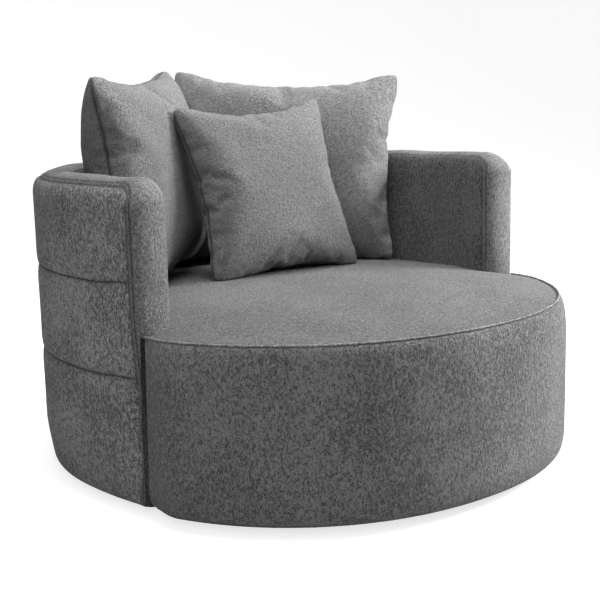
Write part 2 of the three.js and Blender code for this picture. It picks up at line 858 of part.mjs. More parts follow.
const raceProfile = [
  [raceRadius - raceWidth, 0],
  [raceRadius, 0],
  [raceRadius, raceHeight],
  [raceRadius - raceWidth, raceHeight],
  [raceRadius - raceWidth, 0],
].map(([radius, height]) => new THREE.Vector2(radius, height));
const race = new THREE.LatheGeometry(raceProfile, discSides);
race.rotateX(rightAngle);
addPiece('swivel_race', race.translate(0, 0, raceBottom), steel);

function bolt(x, y, tip, seat, headEnd) {
  const shank = disc(boltRadius, Math.min(tip, seat), Math.max(tip, seat), boltSides, x, y);
  const head = disc(boltHeadRadius, Math.min(seat, headEnd), Math.max(seat, headEnd), boltSides, x, y);
  return join(shank, head);
}

boltPlaces().forEach(([x, y], index) => {
  const baseSeat = lowerPlateBottom + plateThickness + clearance;
  const baseBolt = bolt(x, y, boltFloor, baseSeat, baseSeat + boltHeadHeight);
  addPiece(`base_bolt_${index + 1}`, baseBolt, steel);
  const chairSeat = upperPlateBottom - clearance;
  const tip = bottomBoardBottom + boltDepth;
  const chairBolt = bolt(x, y, tip, chairSeat, chairSeat - boltHeadHeight);
  addPiece(`seat_bolt_${index + 1}`, chairBolt, steel);
});

// Pillows

// A stuffed cushion, upright and facing -Y, with its corners left out and its sides drawn in
function pillow(width, height, thickness, drawIn, topDip) {
  const positions = [];
  const triangles = [];
  const rowLength = pillowColumns + 1;
  const place = (column, row) => {
    const across = (2 * column) / pillowColumns - 1;
    const up = (2 * row) / pillowRows - 1;
    const x = across * (width / 2 - drawIn * (1 - up * up));
    const dip = up > 0 ? topDip : drawIn;
    const z = up * (height / 2 - dip * (1 - across * across));
    return { across, up, x, z };
  };
  for (const side of [-1, 1]) {
    for (let row = 0; row <= pillowRows; row += 1) {
      for (let column = 0; column <= pillowColumns; column += 1) {
        const { across, up, x, z } = place(column, row);
        const fullness = ((1 - across * across) * (1 - up * up)) ** pillowEdgeExponent;
        positions.push(x, (side * thickness * fullness) / 2, z);
      }
    }
  }
  const layer = rowLength * (pillowRows + 1);
  for (let row = 0; row < pillowRows; row += 1) {
    for (let column = 0; column < pillowColumns; column += 1) {
      const here = row * rowLength + column;
      const corners = [here, here + 1, here + 1 + rowLength, here + rowLength];
      const rising = (column < pillowColumns / 2) === (row < pillowRows / 2);
      const [a, b, c, d] = rising ? corners : [...corners.slice(1), here];
      triangles.push(a, b, c, a, c, d);
      triangles.push(a + layer, c + layer, b + layer, a + layer, d + layer, c + layer);
    }
  }
  const closed = new THREE.BufferGeometry();
  closed.setAttribute('position', new THREE.Float32BufferAttribute(positions, 3));
  closed.setIndex(triangles);
  return mergeVertices(closed);
}

function placed(geometry, x, y, z, yaw, lean, roll = 0) {
  geometry.rotateY(roll * toRadians);
  geometry.rotateX(-lean * toRadians);
  geometry.rotateZ(yaw * toRadians);
  return geometry.translate(x, y, z);
}

// The seat's crown, raised by the clearance, from the floor up
const crownCutter = seatDisc(seamInsetAt, (share) => crownHeight(share) + clearance, () => floorGap);

// The way a back pillow lifts, along its own lean
const liftLean = Math.tan(backPillowLean * toRadians);
const liftX = liftLean * Math.sin(backPillowYaw * toRadians);
const liftY = liftLean * Math.cos(backPillowYaw * toRadians);

// The back pillows meet in the middle and stand off the wall's inner face
const backPillowReach = wallInnerRadius - backPillowStandOff;
const backPillowX = backPillowMiddleGap + (backPillowWidth / 2) * Math.cos(backPillowYaw * toRadians);
const backPillowY = wallCentreY + Math.sqrt(backPillowReach ** 2 - backPillowX ** 2);
const backPillowStand = (backPillowHeight / 2) * Math.cos(backPillowLean * toRadians);
const backPillowZ = seatSeamHeight + backPillowFootRise + backPillowStand;
const frontPillowY = backPillowY - frontPillowForward;
const frontPillowStand = (frontPillowHeight / 2) * Math.cos(frontPillowLean * toRadians);
const frontPillowZ = seatSeamHeight + frontPillowFootRise + frontPillowStand;

// The wall as a lifted pillow meets it: leaning forward from its top with the pillow
function leaningWall(side) {
  const outline = wallOutline(clearance);
  const drop = wallCutTop;
  const upper = outline.map((point) => new THREE.Vector3(point.x, point.y, wallCutTop));
  const lower = outline.map((point) => {
    return new THREE.Vector3(point.x - side * liftX * drop, point.y - liftY * drop, 0);
  });
  return solidThroughRings([lower, upper], outline, outline);
}

function backPillow(side) {
  const shape = placed(
    pillow(backPillowWidth, backPillowHeight, backPillowThickness, backPillowDrawIn, backPillowTopDip),
    side * backPillowX,
    backPillowY,
    backPillowZ,
    -side * backPillowYaw,
    backPillowLean,
  );
  const farSide = wallRadius + seatHalfWidth;
  const acrossMiddle = block(
    farSide,
    2 * farSide,
    0,
    farSide,
    side * (clearance - farSide / 2),
  );
  return { shape, cutters: [wallCutter, leaningWall(side), crownCutter, acrossMiddle] };
}

const leftPillow = backPillow(-1);
const rightPillow = backPillow(1);
addPiece('pillow_left', cut(leftPillow.shape, ...leftPillow.cutters), fabric);
addPiece('pillow_right', cut(rightPillow.shape, ...rightPillow.cutters), fabric);

const frontShape = placed(
  pillow(frontPillowWidth, frontPillowHeight, frontPillowThickness, frontPillowDrawIn, frontPillowDrawIn),
  frontPillowX,
  frontPillowY,
  frontPillowZ,
  frontPillowYaw,
  frontPillowLean,
  frontPillowRoll,
);
addPiece('pillow_front', cut(frontShape, crownCutter), fabric);

export default group;
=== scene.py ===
from collections import namedtuple

import bmesh
import bpy
import numpy as np
from bpy.props import FloatProperty, FloatVectorProperty, PointerProperty
from mathutils import Matrix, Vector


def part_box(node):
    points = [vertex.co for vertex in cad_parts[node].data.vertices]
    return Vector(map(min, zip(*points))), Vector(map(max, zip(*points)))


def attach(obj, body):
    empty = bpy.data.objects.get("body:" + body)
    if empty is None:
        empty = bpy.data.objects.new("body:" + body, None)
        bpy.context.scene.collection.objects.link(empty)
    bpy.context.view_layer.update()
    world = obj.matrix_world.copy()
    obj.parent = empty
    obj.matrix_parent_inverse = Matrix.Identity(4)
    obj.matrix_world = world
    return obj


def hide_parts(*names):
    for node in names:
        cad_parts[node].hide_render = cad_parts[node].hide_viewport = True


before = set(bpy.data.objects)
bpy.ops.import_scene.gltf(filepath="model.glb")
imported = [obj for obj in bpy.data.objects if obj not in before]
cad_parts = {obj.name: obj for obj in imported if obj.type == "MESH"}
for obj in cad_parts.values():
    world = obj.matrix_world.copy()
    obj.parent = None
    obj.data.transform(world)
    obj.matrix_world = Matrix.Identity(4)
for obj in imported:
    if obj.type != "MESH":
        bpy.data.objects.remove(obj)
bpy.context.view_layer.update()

bl_info = {
    "name": "Round cuddle chair",
    "version": (1, 0, 0),
    "blender": (4, 5, 0),
    "location": "View3D > Sidebar > Cuddle chair",
    "description": "Upholsters the packed frame of a round swivel chair with three loose pillows",
    "category": "Object",
}

CLEARANCE = 0.0003


def length(label, default, description):
    """A length in metres that a user can change."""
    return FloatProperty(
        name=label, description=description, default=default, unit="LENGTH", min=0.0, precision=4
    )


def grey(label, default, description):
    """A linear grey that a user can change into any colour."""
    return FloatVectorProperty(
        name=label, description=description, default=(default,) * 3, subtype="COLOR",
        size=3, min=0.0, max=1.0,
    )


class SeatSizes(bpy.types.PropertyGroup):
    half_width: length("Half width", 0.562, "Half the width of the seat's widest outline")
    half_depth: length("Half depth", 0.566, "Half the depth of the seat's widest outline")
    centre_y: length("Centre", 0.016, "How far the seat's middle lies in front of the origin")
    seam_inset: length("Seam inset", 0.016, "How far the seam lies inside the widest outline")
    seam_height: length("Seam height", 0.351, "Height of the seam between the top and the front")
    crown_rise: length("Crown", 0.040, "How far the middle of the seat stands above its seam")
    tuck: length("Tuck", 0.033, "How far the outline turns in where it meets the arms")
    floor_gap: length("Floor gap", 0.015, "Height of the upholstery's lower edge")
    ridge_radius: length("Ridge radius", 0.0023, "Radius of the raised seam round the seat")
    exponent: FloatProperty(
        name="Squareness", description="Exponent of the seat's superellipse plan", default=2.13
    )


class WallSizes(bpy.types.PropertyGroup):
    radius: length("Outer radius", 0.544, "Radius of the back's outer face in plan")
    depth: length("Depth", 0.104, "Thickness of the wall in plan")
    centre_y: length("Centre", 0.038, "How far the middle of the back's curve lies behind the origin")
    arm_reach: length("Arm reach", 0.217, "How far the arms reach in front of the curve's middle")
    seam_height: length("Seam height", 0.626, "Height of the two seams along the top")
    crown: length("Crown", 0.014, "Rise of the border strip between its seams")
    upper_channel: length("Upper channel", 0.444, "Height of the upper sewn channel")
    lower_channel: length("Lower channel", 0.264, "Height of the lower sewn channel")
    channel_rise: length("Channel rise", 0.005, "How far the channels rise toward the arm fronts")
    thickness: length("Padding", 0.024, "Thickness of the padded bands")
    stitch_gap: length("Stitch gap", 0.0095, "Distance between the two lines of a double seam")


class PillowSizes(bpy.types.PropertyGroup):
    back_width: length("Back width", 0.560, "Width of a back pillow")
    back_height: length("Back height", 0.476, "Height of a back pillow")
    back_thickness: length("Back thickness", 0.190, "Thickness of a back pillow")
    front_width: length("Front width", 0.398, "Width of the front pillow")
    front_height: length("Front height", 0.420, "Height of the front pillow")
    front_thickness: length("Front thickness", 0.140, "Thickness of the front pillow")
    thread: length("Cloth cell", 0.0072, "Size of the cloth cells that the pillows are blown up with")


class Finishes(bpy.types.PropertyGroup):
    cloth_dark: grey("Cloth, deep", 0.048, "Chenille in the valleys of its pile")
    cloth_mid: grey("Cloth, middle", 0.132, "Chenille over most of its pile")
    cloth_light: grey("Cloth, brushed", 0.235, "Chenille on the tips of its pile")
    floor: grey("Floor", 0.45, "The floor under the chair")


def settings():
    """The values that the panel shows."""
    return bpy.context.scene.cuddle_chair


class ChairSettings(bpy.types.PropertyGroup):
    seat: PointerProperty(type=SeatSizes)
    wall: PointerProperty(type=WallSizes)
    pillows: PointerProperty(type=PillowSizes)
    finishes: PointerProperty(type=Finishes)


# Materials


def node_graph(name):
    """A new material with a Principled surface, and a function that adds nodes to it."""
    material = bpy.data.materials.new(name)
    material.use_nodes = True
    tree = material.node_tree
    surface = tree.nodes["Principled BSDF"]

    def add(kind, inputs=None, **values):
        node = tree.nodes.new(kind)
        for key, value in values.items():
            setattr(node, key, value)
        for key, value in (inputs or {}).items():
            if isinstance(value, bpy.types.NodeSocket):
                tree.links.new(value, node.inputs[key])
            else:
                node.inputs[key].default_value = value
        return node

    return material, tree, surface, add


def colour_ramp(add, factor, stops):
    """Greys or colours between the stops, each (place, colour)."""
    node = add("ShaderNodeValToRGB", {"Fac": factor})
    ramp = node.color_ramp
    while len(ramp.elements) < len(stops):
        ramp.elements.new(0.5)
    for element, (place, colour) in zip(ramp.elements, stops):
        element.position = place
        element.color = (*colour, 1.0)
    return node.outputs["Color"]


def blended(add, first, second, share):
    """Weighted mean of two values."""
    scaled = add("ShaderNodeMath", {0: first, 1: 1.0 - share}, operation="MULTIPLY")
    return add(
        "ShaderNodeMath", {0: second, 1: share, 2: scaled.outputs[0]}, operation="MULTIPLY_ADD"
    ).outputs[0]


def chenille(name, tuft, streak=1.0, painted_light_factor=1.0, sheen=0.25, mottle=1.0):
    """Brushed chenille: a mottled pile of tufts of that size in metres, drawn out upward by the
    streak, over faint wide patches where the pile lies another way. All its tones are scaled by the
    piece's painted light factor, painted light and shade that stands in for how the piece is lit,
    and it is darkened by the seam attribute: painted shade in seam grooves and joints, where the
    pile is also pressed."""
    finishes = settings().finishes
    material, tree, surface, add = node_graph(name)
    coordinates = add("ShaderNodeTexCoord").outputs["Object"]
    drawn = add("ShaderNodeMapping", {"Vector": coordinates, "Scale": (1.0, 1.0, 1.0 / streak)})
    vector = drawn.outputs["Vector"]
    tufts = add("ShaderNodeTexNoise", {
        "Vector": vector, "Scale": 1.0 / tuft, "Detail": 2.0, "Roughness": 0.6, "Distortion": 1.3,
    }).outputs["Fac"]
    clumps = add("ShaderNodeTexNoise", {
        "Vector": vector, "Scale": 0.5 / tuft, "Detail": 1.0, "Roughness": 0.5, "Distortion": 0.6,
    }).outputs["Fac"]
    patches = add("ShaderNodeTexNoise", {
        "Vector": coordinates, "Scale": 7.0, "Detail": 2.0, "Roughness": 0.5,
    }).outputs["Fac"]
    pile = blended(add, tufts, clumps, 0.2)
    shade = blended(add, pile, patches, 0.16)
    # Painted light and shade: the painted light factor lightens or darkens this piece's tones.
    tones = [
        [painted_light_factor * (mid + mottle * (value - mid)) for value, mid in zip(colour, finishes.cloth_mid)]
        for colour in (finishes.cloth_dark, finishes.cloth_mid, finishes.cloth_light)
    ]
    colour = colour_ramp(add, shade, [(0.445, tones[0]), (0.5, tones[1]), (0.555, tones[2])])
    # Painted shade: the seam attribute darkens the colour in seam grooves and joints.
    painted_seam_shade = add("ShaderNodeAttribute", attribute_name="seam").outputs["Fac"]
    sharp = add("ShaderNodeMath", {0: painted_seam_shade, 1: 1.3}, operation="POWER").outputs[0]
    seam_shade_factor = add("ShaderNodeMath", {0: sharp, 1: -0.93, 2: 1.0}, operation="MULTIPLY_ADD")
    shaded = add(
        "ShaderNodeVectorMath", {0: colour, "Scale": seam_shade_factor.outputs[0]}, operation="SCALE"
    )
    tree.links.new(shaded.outputs["Vector"], surface.inputs["Base Color"])
    bump = add("ShaderNodeBump", {"Height": pile, "Strength": 1.0, "Distance": 0.012})
    tree.links.new(bump.outputs["Normal"], surface.inputs["Normal"])
    surface.inputs["Roughness"].default_value = 0.95
    surface.inputs["Specular IOR Level"].default_value = 0.12
    surface.inputs["Sheen Weight"].default_value = sheen
    surface.inputs["Sheen Roughness"].default_value = 0.45
    return material


def grained(name, dark, light, scale, stretch, roughness, metallic=0.0, depth=0.0004):
    """Wood, metal, plastic or plain cloth: fine noise drawn out along one axis."""
    material, tree, surface, add = node_graph(name)
    coordinates = add("ShaderNodeTexCoord").outputs["Object"]
    drawn = add("ShaderNodeMapping", {"Vector": coordinates, "Scale": stretch})
    grain = add("ShaderNodeTexNoise", {
        "Vector": drawn.outputs["Vector"], "Scale": scale, "Detail": 5.0, "Distortion": 0.6,
    }).outputs["Fac"]
    colour = colour_ramp(add, grain, [(0.3, dark), (0.7, light)])
    tree.links.new(colour, surface.inputs["Base Color"])
    bump = add("ShaderNodeBump", {"Height": grain, "Strength": 0.4, "Distance": depth})
    tree.links.new(bump.outputs["Normal"], surface.inputs["Normal"])
    surface.inputs["Roughness"].default_value = roughness
    surface.inputs["Metallic"].default_value = metallic
    return material


# Meshes


def make_piece(name, points, faces, material, body, replaced, seam=None):
    """A smooth mesh object that rides on a body and stands for the CAD nodes it replaces. The
    seam attribute is 1 in a seam and 0 on the open cloth; the chenille darkens its colour by it,
    painted shade in the seam's groove."""
    mesh = bpy.data.meshes.new(name)
    points = np.asarray(points, float).reshape(-1, 3)
    mesh.from_pydata(points.tolist(), [], faces)
    turn_out(mesh)
    # Painted shade mask: darkens the cloth along seams and joints.
    painted_seam_shade = mesh.attributes.new("seam", "FLOAT", "POINT")
    if seam is not None:
        painted_seam_shade.data.foreach_set("value", np.asarray(seam, np.float32).ravel())
    mesh.polygons.foreach_set("use_smooth", np.ones(len(mesh.polygons), bool))
    mesh.update()
    piece = bpy.data.objects.new(name, mesh)
    bpy.context.scene.collection.objects.link(piece)
    mesh.materials.append(material)
    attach(piece, body)
    if replaced:
        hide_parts(*replaced)
    return piece


def turn_out(mesh):
    """Turns all faces of a closed mesh outward."""
    work = bmesh.new()
    work.from_mesh(mesh)
    bmesh.ops.recalc_face_normals(work, faces=work.faces)
    work.to_mesh(mesh)
    work.free()


def sweep_faces(stations, places):
    """Faces of a closed section of so many places carried through the stations, and its two ends."""
    station = np.arange(stations - 1)[:, None] * places
    place = np.arange(places)[None, :]
    beside = (place + 1) % places
    quads = np.stack(
        [station + place, station + beside, station + places + beside, station + places + place], -1
    ).reshape(-1, 4)
    last = (stations - 1) * places
    return quads.tolist() + [list(range(places)), [last + index for index in range(places)]]


def smooth(share):
    """3t² − 2t³, with t held between 0 and 1."""
    held = np.clip(share, 0.0, 1.0)
    return held * held * (3.0 - 2.0 * held)


def ripple(run, period, phase=0.0):
    """A wave along a seam whose length and place wander, from −1 to 1."""
    turn = 2.0 * np.pi * run / period + phase
    return np.sin(turn + 1.7 * np.sin(turn / 3.3 + phase) + 2.3 * np.sin(turn / 7.7 - phase))


# Seat plan


def seat_radius(angle, inset):
    """Distance from the seat's middle to its outline, by the angle from the front: a superellipse
    less the tuck, which grows by a smooth step where the outline meets the arms."""
    seat = settings().seat
    across = np.abs(np.sin(angle)) / (seat.half_width - inset)
    along = np.abs(np.cos(angle)) / (seat.half_depth - inset)
    radius = (across ** seat.exponent + along ** seat.exponent) ** (-1.0 / seat.exponent)
    return radius - seat.tuck * tuck_share(angle)


def tuck_share(angle):
    """How far the outline has turned in toward the arms, from 0 to 1."""
    return smooth((np.abs(np.degrees(angle)) - 64.0) / 10.0)


def wall_hit(angle):
    """Distance from the seat's middle to the wall's inner face, by the angle from the front."""
    path = wall_path(False)
    seat = settings().seat
    dy = path.y + seat.centre_y
    angles = np.arctan2(path.x, -dy)
    order = np.argsort(angles)
    return np.interp(angle, angles[order], np.hypot(path.x, dy)[order])


def seat_points(angle, radius, height):
    """Points at angles from the front, at radii from the seat's middle and at heights."""
    x = radius * np.sin(angle)
    y = -settings().seat.centre_y - radius * np.cos(angle)
    return np.stack(np.broadcast_arrays(x, y, height), -1)


def crown_height(share):
    """Height of the seat's top: it falls by a power of the share from the middle (0) to the
    seam (1), flatter in the middle and steeper at the seam than a parabola."""
    seat = settings().seat
    return seat.seam_height + seat.crown_rise * (1.0 - share ** CROWN_POWER)


CROWN_POWER = 2.8


# Wall plan

Path = namedtuple("Path", "x y nx ny turn lift run")
ARM_BOW = {True: 0.900, False: 2.350}
CORNER = 0.100
CORNER_TURN = np.radians(18.0)
SEAM_SET_BACK = {True: 0.014, False: 0.020}
FRONT_LEAN = (0.009, 0.006)
LEAN_TOP = 0.40
LEAN_DROP = 0.22
STATION = 0.003


def arm_half_width(outer, forward):
    """Half width of a face of the wall, a distance in front of its middle: a circle's bow."""
    wall = settings().wall
    radius = wall.radius if outer else wall.radius - wall.depth
    return radius - ARM_BOW[outer] + np.sqrt(ARM_BOW[outer] ** 2 - forward ** 2)


def wall_path(outer, cache={}):
    """Stations along a face of the wall, from the left arm's front seam round the back to the
    right arm's: an arc that starts to turn in, a gently bowed arm and half of a circle, then its
    mirror. Both faces have as many stations, so that they pair up across the wall."""
    if outer in cache:
        return cache[outer]
    wall = settings().wall
    side = 1.0 if outer else -1.0
    radius = wall.radius if outer else wall.radius - wall.depth
    forward_end = wall.arm_reach - SEAM_SET_BACK[outer] - CORNER * np.sin(CORNER_TURN)
    corner_x = arm_half_width(outer, forward_end) - side * CORNER
    corner_y = wall.centre_y - forward_end
    fall = np.sin(np.linspace(np.pi / 2.0, 0.0, 25)[:-1])
    turn = np.arcsin(fall * np.sin(CORNER_TURN)) / CORNER_TURN
    forward = np.linspace(forward_end, 0.0, 61)[:-1]
    angle = np.linspace(0.0, np.pi / 2.0, 1 + round(np.pi / 2.0 * wall.radius / STATION))
    across = side * np.cos(turn * CORNER_TURN)
    along = -np.sin(turn * CORNER_TURN)
    x = np.concatenate([
        corner_x + CORNER * across, arm_half_width(outer, forward), radius * np.cos(angle)
    ])
    y = np.concatenate([
        corner_y + CORNER * along, wall.centre_y - forward, wall.centre_y + radius * np.sin(angle)
    ])
    nx = np.concatenate([across, np.full(len(forward), side), side * np.cos(angle)])
    ny = np.concatenate([along, np.zeros(len(forward)), side * np.sin(angle)])
    turns = np.concatenate([turn, np.zeros(len(forward) + len(angle))])
    lift = np.concatenate([
        np.ones(len(turn)), smooth(2.0 * forward / forward_end - 1.0), np.zeros(len(angle))
    ])

    def both(values, sign=1.0):
        return np.concatenate([sign * values[:-1], values[::-1]])

    xs, ys = both(x, -1.0), both(y)
    run = np.concatenate([[0.0], np.cumsum(np.hypot(np.diff(xs), np.diff(ys)))])
    cache[outer] = Path(xs, ys, both(nx, -1.0), both(ny), both(turns), both(lift), run)
    return cache[outer]


def wall_points(path, depth, height):
    """Each station moved into the wall by the depth, at the height: arrays [stations, places]."""
    x = path.x[:, None] - path.nx[:, None] * depth
    y = path.y[:, None] - path.ny[:, None] * depth
    return np.stack(np.broadcast_arrays(x, y, height), -1)


def turn_angle(path):
    """How far the border strip has turned down at each station."""
    return np.arcsin(np.minimum(1.0, np.sin(path.turn * CORNER_TURN) / np.sin(CORNER_TURN)))


FRONT_TURN = CORNER * np.sin(CORNER_TURN)
TOP_INSET = {True: 0.017, False: 0.005}
FRONT_CROWN = 0.023


def seam_line(outer):
    """The seam of the border strip on a face: its inset and its height at each station."""
    path = wall_path(outer)
    angle = turn_angle(path)
    inset = TOP_INSET[outer] * np.cos(angle)
    height = settings().wall.seam_height - FRONT_TURN * (1.0 - np.cos(angle))
    return inset, height


# Bands of the outer wall


def edge_round(distance, reach, depth):
    """Depth of a rounded edge: a quarter ellipse from the full depth at the seam to none."""
    share = np.clip(1.0 - distance / reach, 0.0, 1.0)
    return depth * (1.0 - np.sqrt(1.0 - share ** 2))


def graded(count, crowd=1.6):
    """Shares from 0 to 1, crowded toward both ends."""
    share = np.linspace(-1.0, 1.0, count)
    return (np.sign(share) * (1.0 - (1.0 - np.abs(share)) ** crowd) + 1.0) / 2.0


def band_section(path, bottom, top, foot=False, shoulder=None):
    """Depth and height of a band's face: rounded into the channel seams above and below, with a
    tight lip at its foot, puckers that fade away from each seam, and either a tapered foot at the
    floor or a shoulder that rolls in to the border strip."""
    share = graded(46)[None, :]
    height = bottom[:, None] + (top - bottom)[:, None] * share
    above = height - bottom[:, None]
    below = top[:, None] - height
    run = path.run[:, None]
    depth = np.zeros_like(height)
    if foot:
        floor_gap = settings().seat.floor_gap
        rise = (height - floor_gap) / 0.090
        depth = depth + 0.014 * np.clip(1.0 - rise, 0.0, 1.0) ** 1.3 + edge_round(above, 0.012, 0.008)
    else:
        depth = depth + edge_round(above, 0.026, 0.0085)
        depth = depth - 0.0012 * np.exp(-((above - 0.006) / 0.003) ** 2)
        depth = depth + 0.0007 * ripple(run, 0.021) * np.exp(-above / 0.016)
    if shoulder is None:
        depth = depth + edge_round(below, 0.040, 0.0075)
        depth = depth + 0.0006 * ripple(run, 0.024, 1.1) * np.exp(-below / 0.018)
    else:
        rise = np.clip(1.0 - below / 0.036, 0.0, 1.0)
        depth = depth + shoulder[:, None] * (1.0 - np.sqrt(1.0 - rise ** 2))
        height = height - 0.0022 * np.exp(-below / 0.0025)
    depth = depth + 0.0012 * ripple(run, 0.31, 2.0) * np.sin(np.pi * share)
    # Painted shade: this mask darkens the bands along the channel seams and at the arm fronts.
    seam = np.exp(-below / 0.0030)
    if not foot:
        seam = np.maximum(seam, np.exp(-above / 0.0020))
    return depth, height, np.maximum(seam, front_edge(path))


def front_edge(path):
    """1 at the first and the last station of a path, fading to 0 within a few millimetres."""
    distance = np.minimum(path.run, path.run[-1] - path.run)
    return np.exp(-distance / 0.0040)[:, None]


def front_lean(side, height):
    """How far the outer front seam of an arm has moved in and forward at a height: lower down it
    leans toward the seat by a smooth step, until the joint with the seat hides it."""
    share = smooth((LEAN_TOP - height) / LEAN_DROP)
    return np.stack([-side * FRONT_LEAN[0] * share, -FRONT_LEAN[1] * share, 0.0 * share], -1)


def leaned(path, points):
    """A band's points, moved toward the front seam's lean by the square of the corner's turn."""
    side = np.broadcast_to(np.sign(path.x)[:, None], points.shape[:2])
    return points + front_lean(side, points[..., 2]) * path.turn[:, None, None] ** 2


def closed_band(path, depth, height, back):
    """The face of a band closed by its back: the section's last places lie at the back's depth."""
    shares = np.linspace(1.0, 0.0, 7)[None, :]
    low, high = height[:, :1], height[:, -1:]
    back_height = low + (high - low) * shares
    edge = 0.003 * front_edge(path)
    return wall_points(
        path,
        np.concatenate([depth + edge, np.broadcast_to(back, back_height.shape)], 1),
        np.concatenate([height, back_height], 1),
    )


def with_back(seam, places):
    """The seam values of a face, with none on the places behind it."""
    return np.pad(seam, ((0, 0), (0, places - seam.shape[1])))


class CHAIR_OT_outer_bands(bpy.types.Operator):
    """Pads the outside of the wall with three bands between sewn channels"""

    bl_idname = "chair.outer_bands"
    bl_label = "Outer bands"

    def execute(self, context):
        wall = settings().wall
        path = wall_path(True)
        # Painted light: the outer bands are made a quarter lighter than the plain cloth.
        cloth = chenille("chenille_wall", 0.0036, streak=1.7, painted_light_factor=1.25, mottle=1.15)
        lower = wall.lower_channel + wall.channel_rise * path.lift
        upper = wall.upper_channel + wall.channel_rise * path.lift
        floor = np.full_like(lower, settings().seat.floor_gap)
        inset, seam = seam_line(True)
        bands = {
            "wall_band_lower": (floor, lower, True, None, "outer_band_bottom"),
            "wall_band_middle": (lower, upper, False, None, "outer_band_middle"),
            "wall_band_upper": (upper, seam, False, inset, "outer_band_top"),
        }
        for name, (bottom, top, foot, shoulder, node) in bands.items():
            depth, height, seam_shade_share = band_section(path, bottom, top, foot, shoulder)
            points = leaned(path, closed_band(path, depth, height, wall.thickness + 0.004))
            faces = sweep_faces(*points.shape[:2])
            piece = make_piece(
                name, points, faces, cloth, "chair", [node],
                with_back(seam_shade_share, points.shape[1]),
            )
        return {"FINISHED"}


class CHAIR_OT_inner_panel(bpy.types.Operator):
    """Lines the inside of the wall with one padded panel"""

    bl_idname = "chair.inner_panel"
    bl_label = "Inner panel"

    def execute(self, context):
        path = wall_path(False)
        inset, seam = seam_line(False)
        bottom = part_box("wall_inner_cover")[0].z
        height = bottom + (seam - bottom)[:, None] * graded(60)[None, :]
        below = seam[:, None] - height
        rise = np.clip(1.0 - below / 0.036, 0.0, 1.0)
        depth = inset[:, None] * (1.0 - np.sqrt(1.0 - rise ** 2))
        depth = depth + 0.0012 * ripple(path.run[:, None], 0.27, 0.6) * np.sin(np.pi * rise / 2.0)
        height = height - 0.0022 * np.exp(-below / 0.0025)
        points = closed_band(path, depth, height, 0.012)
        faces = sweep_faces(*points.shape[:2])
        # Painted shade along the top seam and at the arm fronts.
        seam_shade_share = np.maximum(np.exp(-below / 0.0022), front_edge(path))
        # Painted shade: the inner panel is made about half as light as the plain cloth.
        cloth = chenille("chenille_inside_painted_shade", 0.0036, streak=1.2, painted_light_factor=0.52, mottle=1.2)
        piece = make_piece(
            "wall_inner_panel", points, faces, cloth, "chair",
            ["wall_inner_cover", "wall_foam"], with_back(seam_shade_share, points.shape[1]),
        )
        return {"FINISHED"}


def border_frames(bottom):
    """Along the strip, from the floor at the left arm's front over the wall to the right arm's:
    the middle between the seams, the way across, the way up, half the width, the crown and the
    exponent of its section, which is rounder at the fronts."""
    wall = settings().wall
    seams = []
    for outer in (True, False):
        path = wall_path(outer)
        inset, height = seam_line(outer)
        inset = inset + CLEARANCE
        x, y = path.x - path.nx * inset, path.y - path.ny * inset
        line = np.stack([x, y, height], -1)
        drops = np.linspace(bottom, height[0], 180)[:-1]
        left, right = (np.repeat(line[index][None], len(drops), 0) for index in (0, -1))
        left[:, 2], right[:, 2] = drops, drops[::-1]
        if outer:
            left += front_lean(-1.0, drops)
            right += front_lean(1.0, drops[::-1])
        seams.append(np.concatenate([left, line, right]))
    outer_seam, inner_seam = seams
    angle = np.pad(turn_angle(wall_path(True)), len(drops), constant_values=np.pi / 2.0)[:, None]
    across = outer_seam - inner_seam
    width = np.linalg.norm(across, axis=1)
    across = across / width[:, None]
    forward = np.stack([across[:, 1], -across[:, 0], np.zeros(len(across))], -1)
    forward = forward * -np.sign(forward[:, 1:2] + 1e-9)
    up = forward * np.sin(angle) + np.array([0.0, 0.0, 1.0]) * np.cos(angle)
    origin = (outer_seam + inner_seam) / 2.0
    down = smooth(2.0 * angle[:, 0] / np.pi)
    crown = wall.crown + (FRONT_CROWN - wall.crown) * down
    roundness = 0.8 - 0.38 * down
    return origin, across, up, width / 2.0, crown, roundness


def drum_joint(points):
    """Where the strip dips into its joint with the drum: 1 inside the drum's outline, fading to 0
    a few millimetres outside it and above the seat's seam."""
    seat = settings().seat
    dy = points[..., 1] + seat.centre_y
    angle = np.arctan2(points[..., 0], -dy)
    outside = np.hypot(points[..., 0], dy) - seat_radius(angle, 0.0)
    below = smooth((seat.seam_height + 0.002 - points[..., 2]) / 0.006)
    return np.exp(-(np.maximum(outside, 0.0) / 0.0015) ** 2) * below


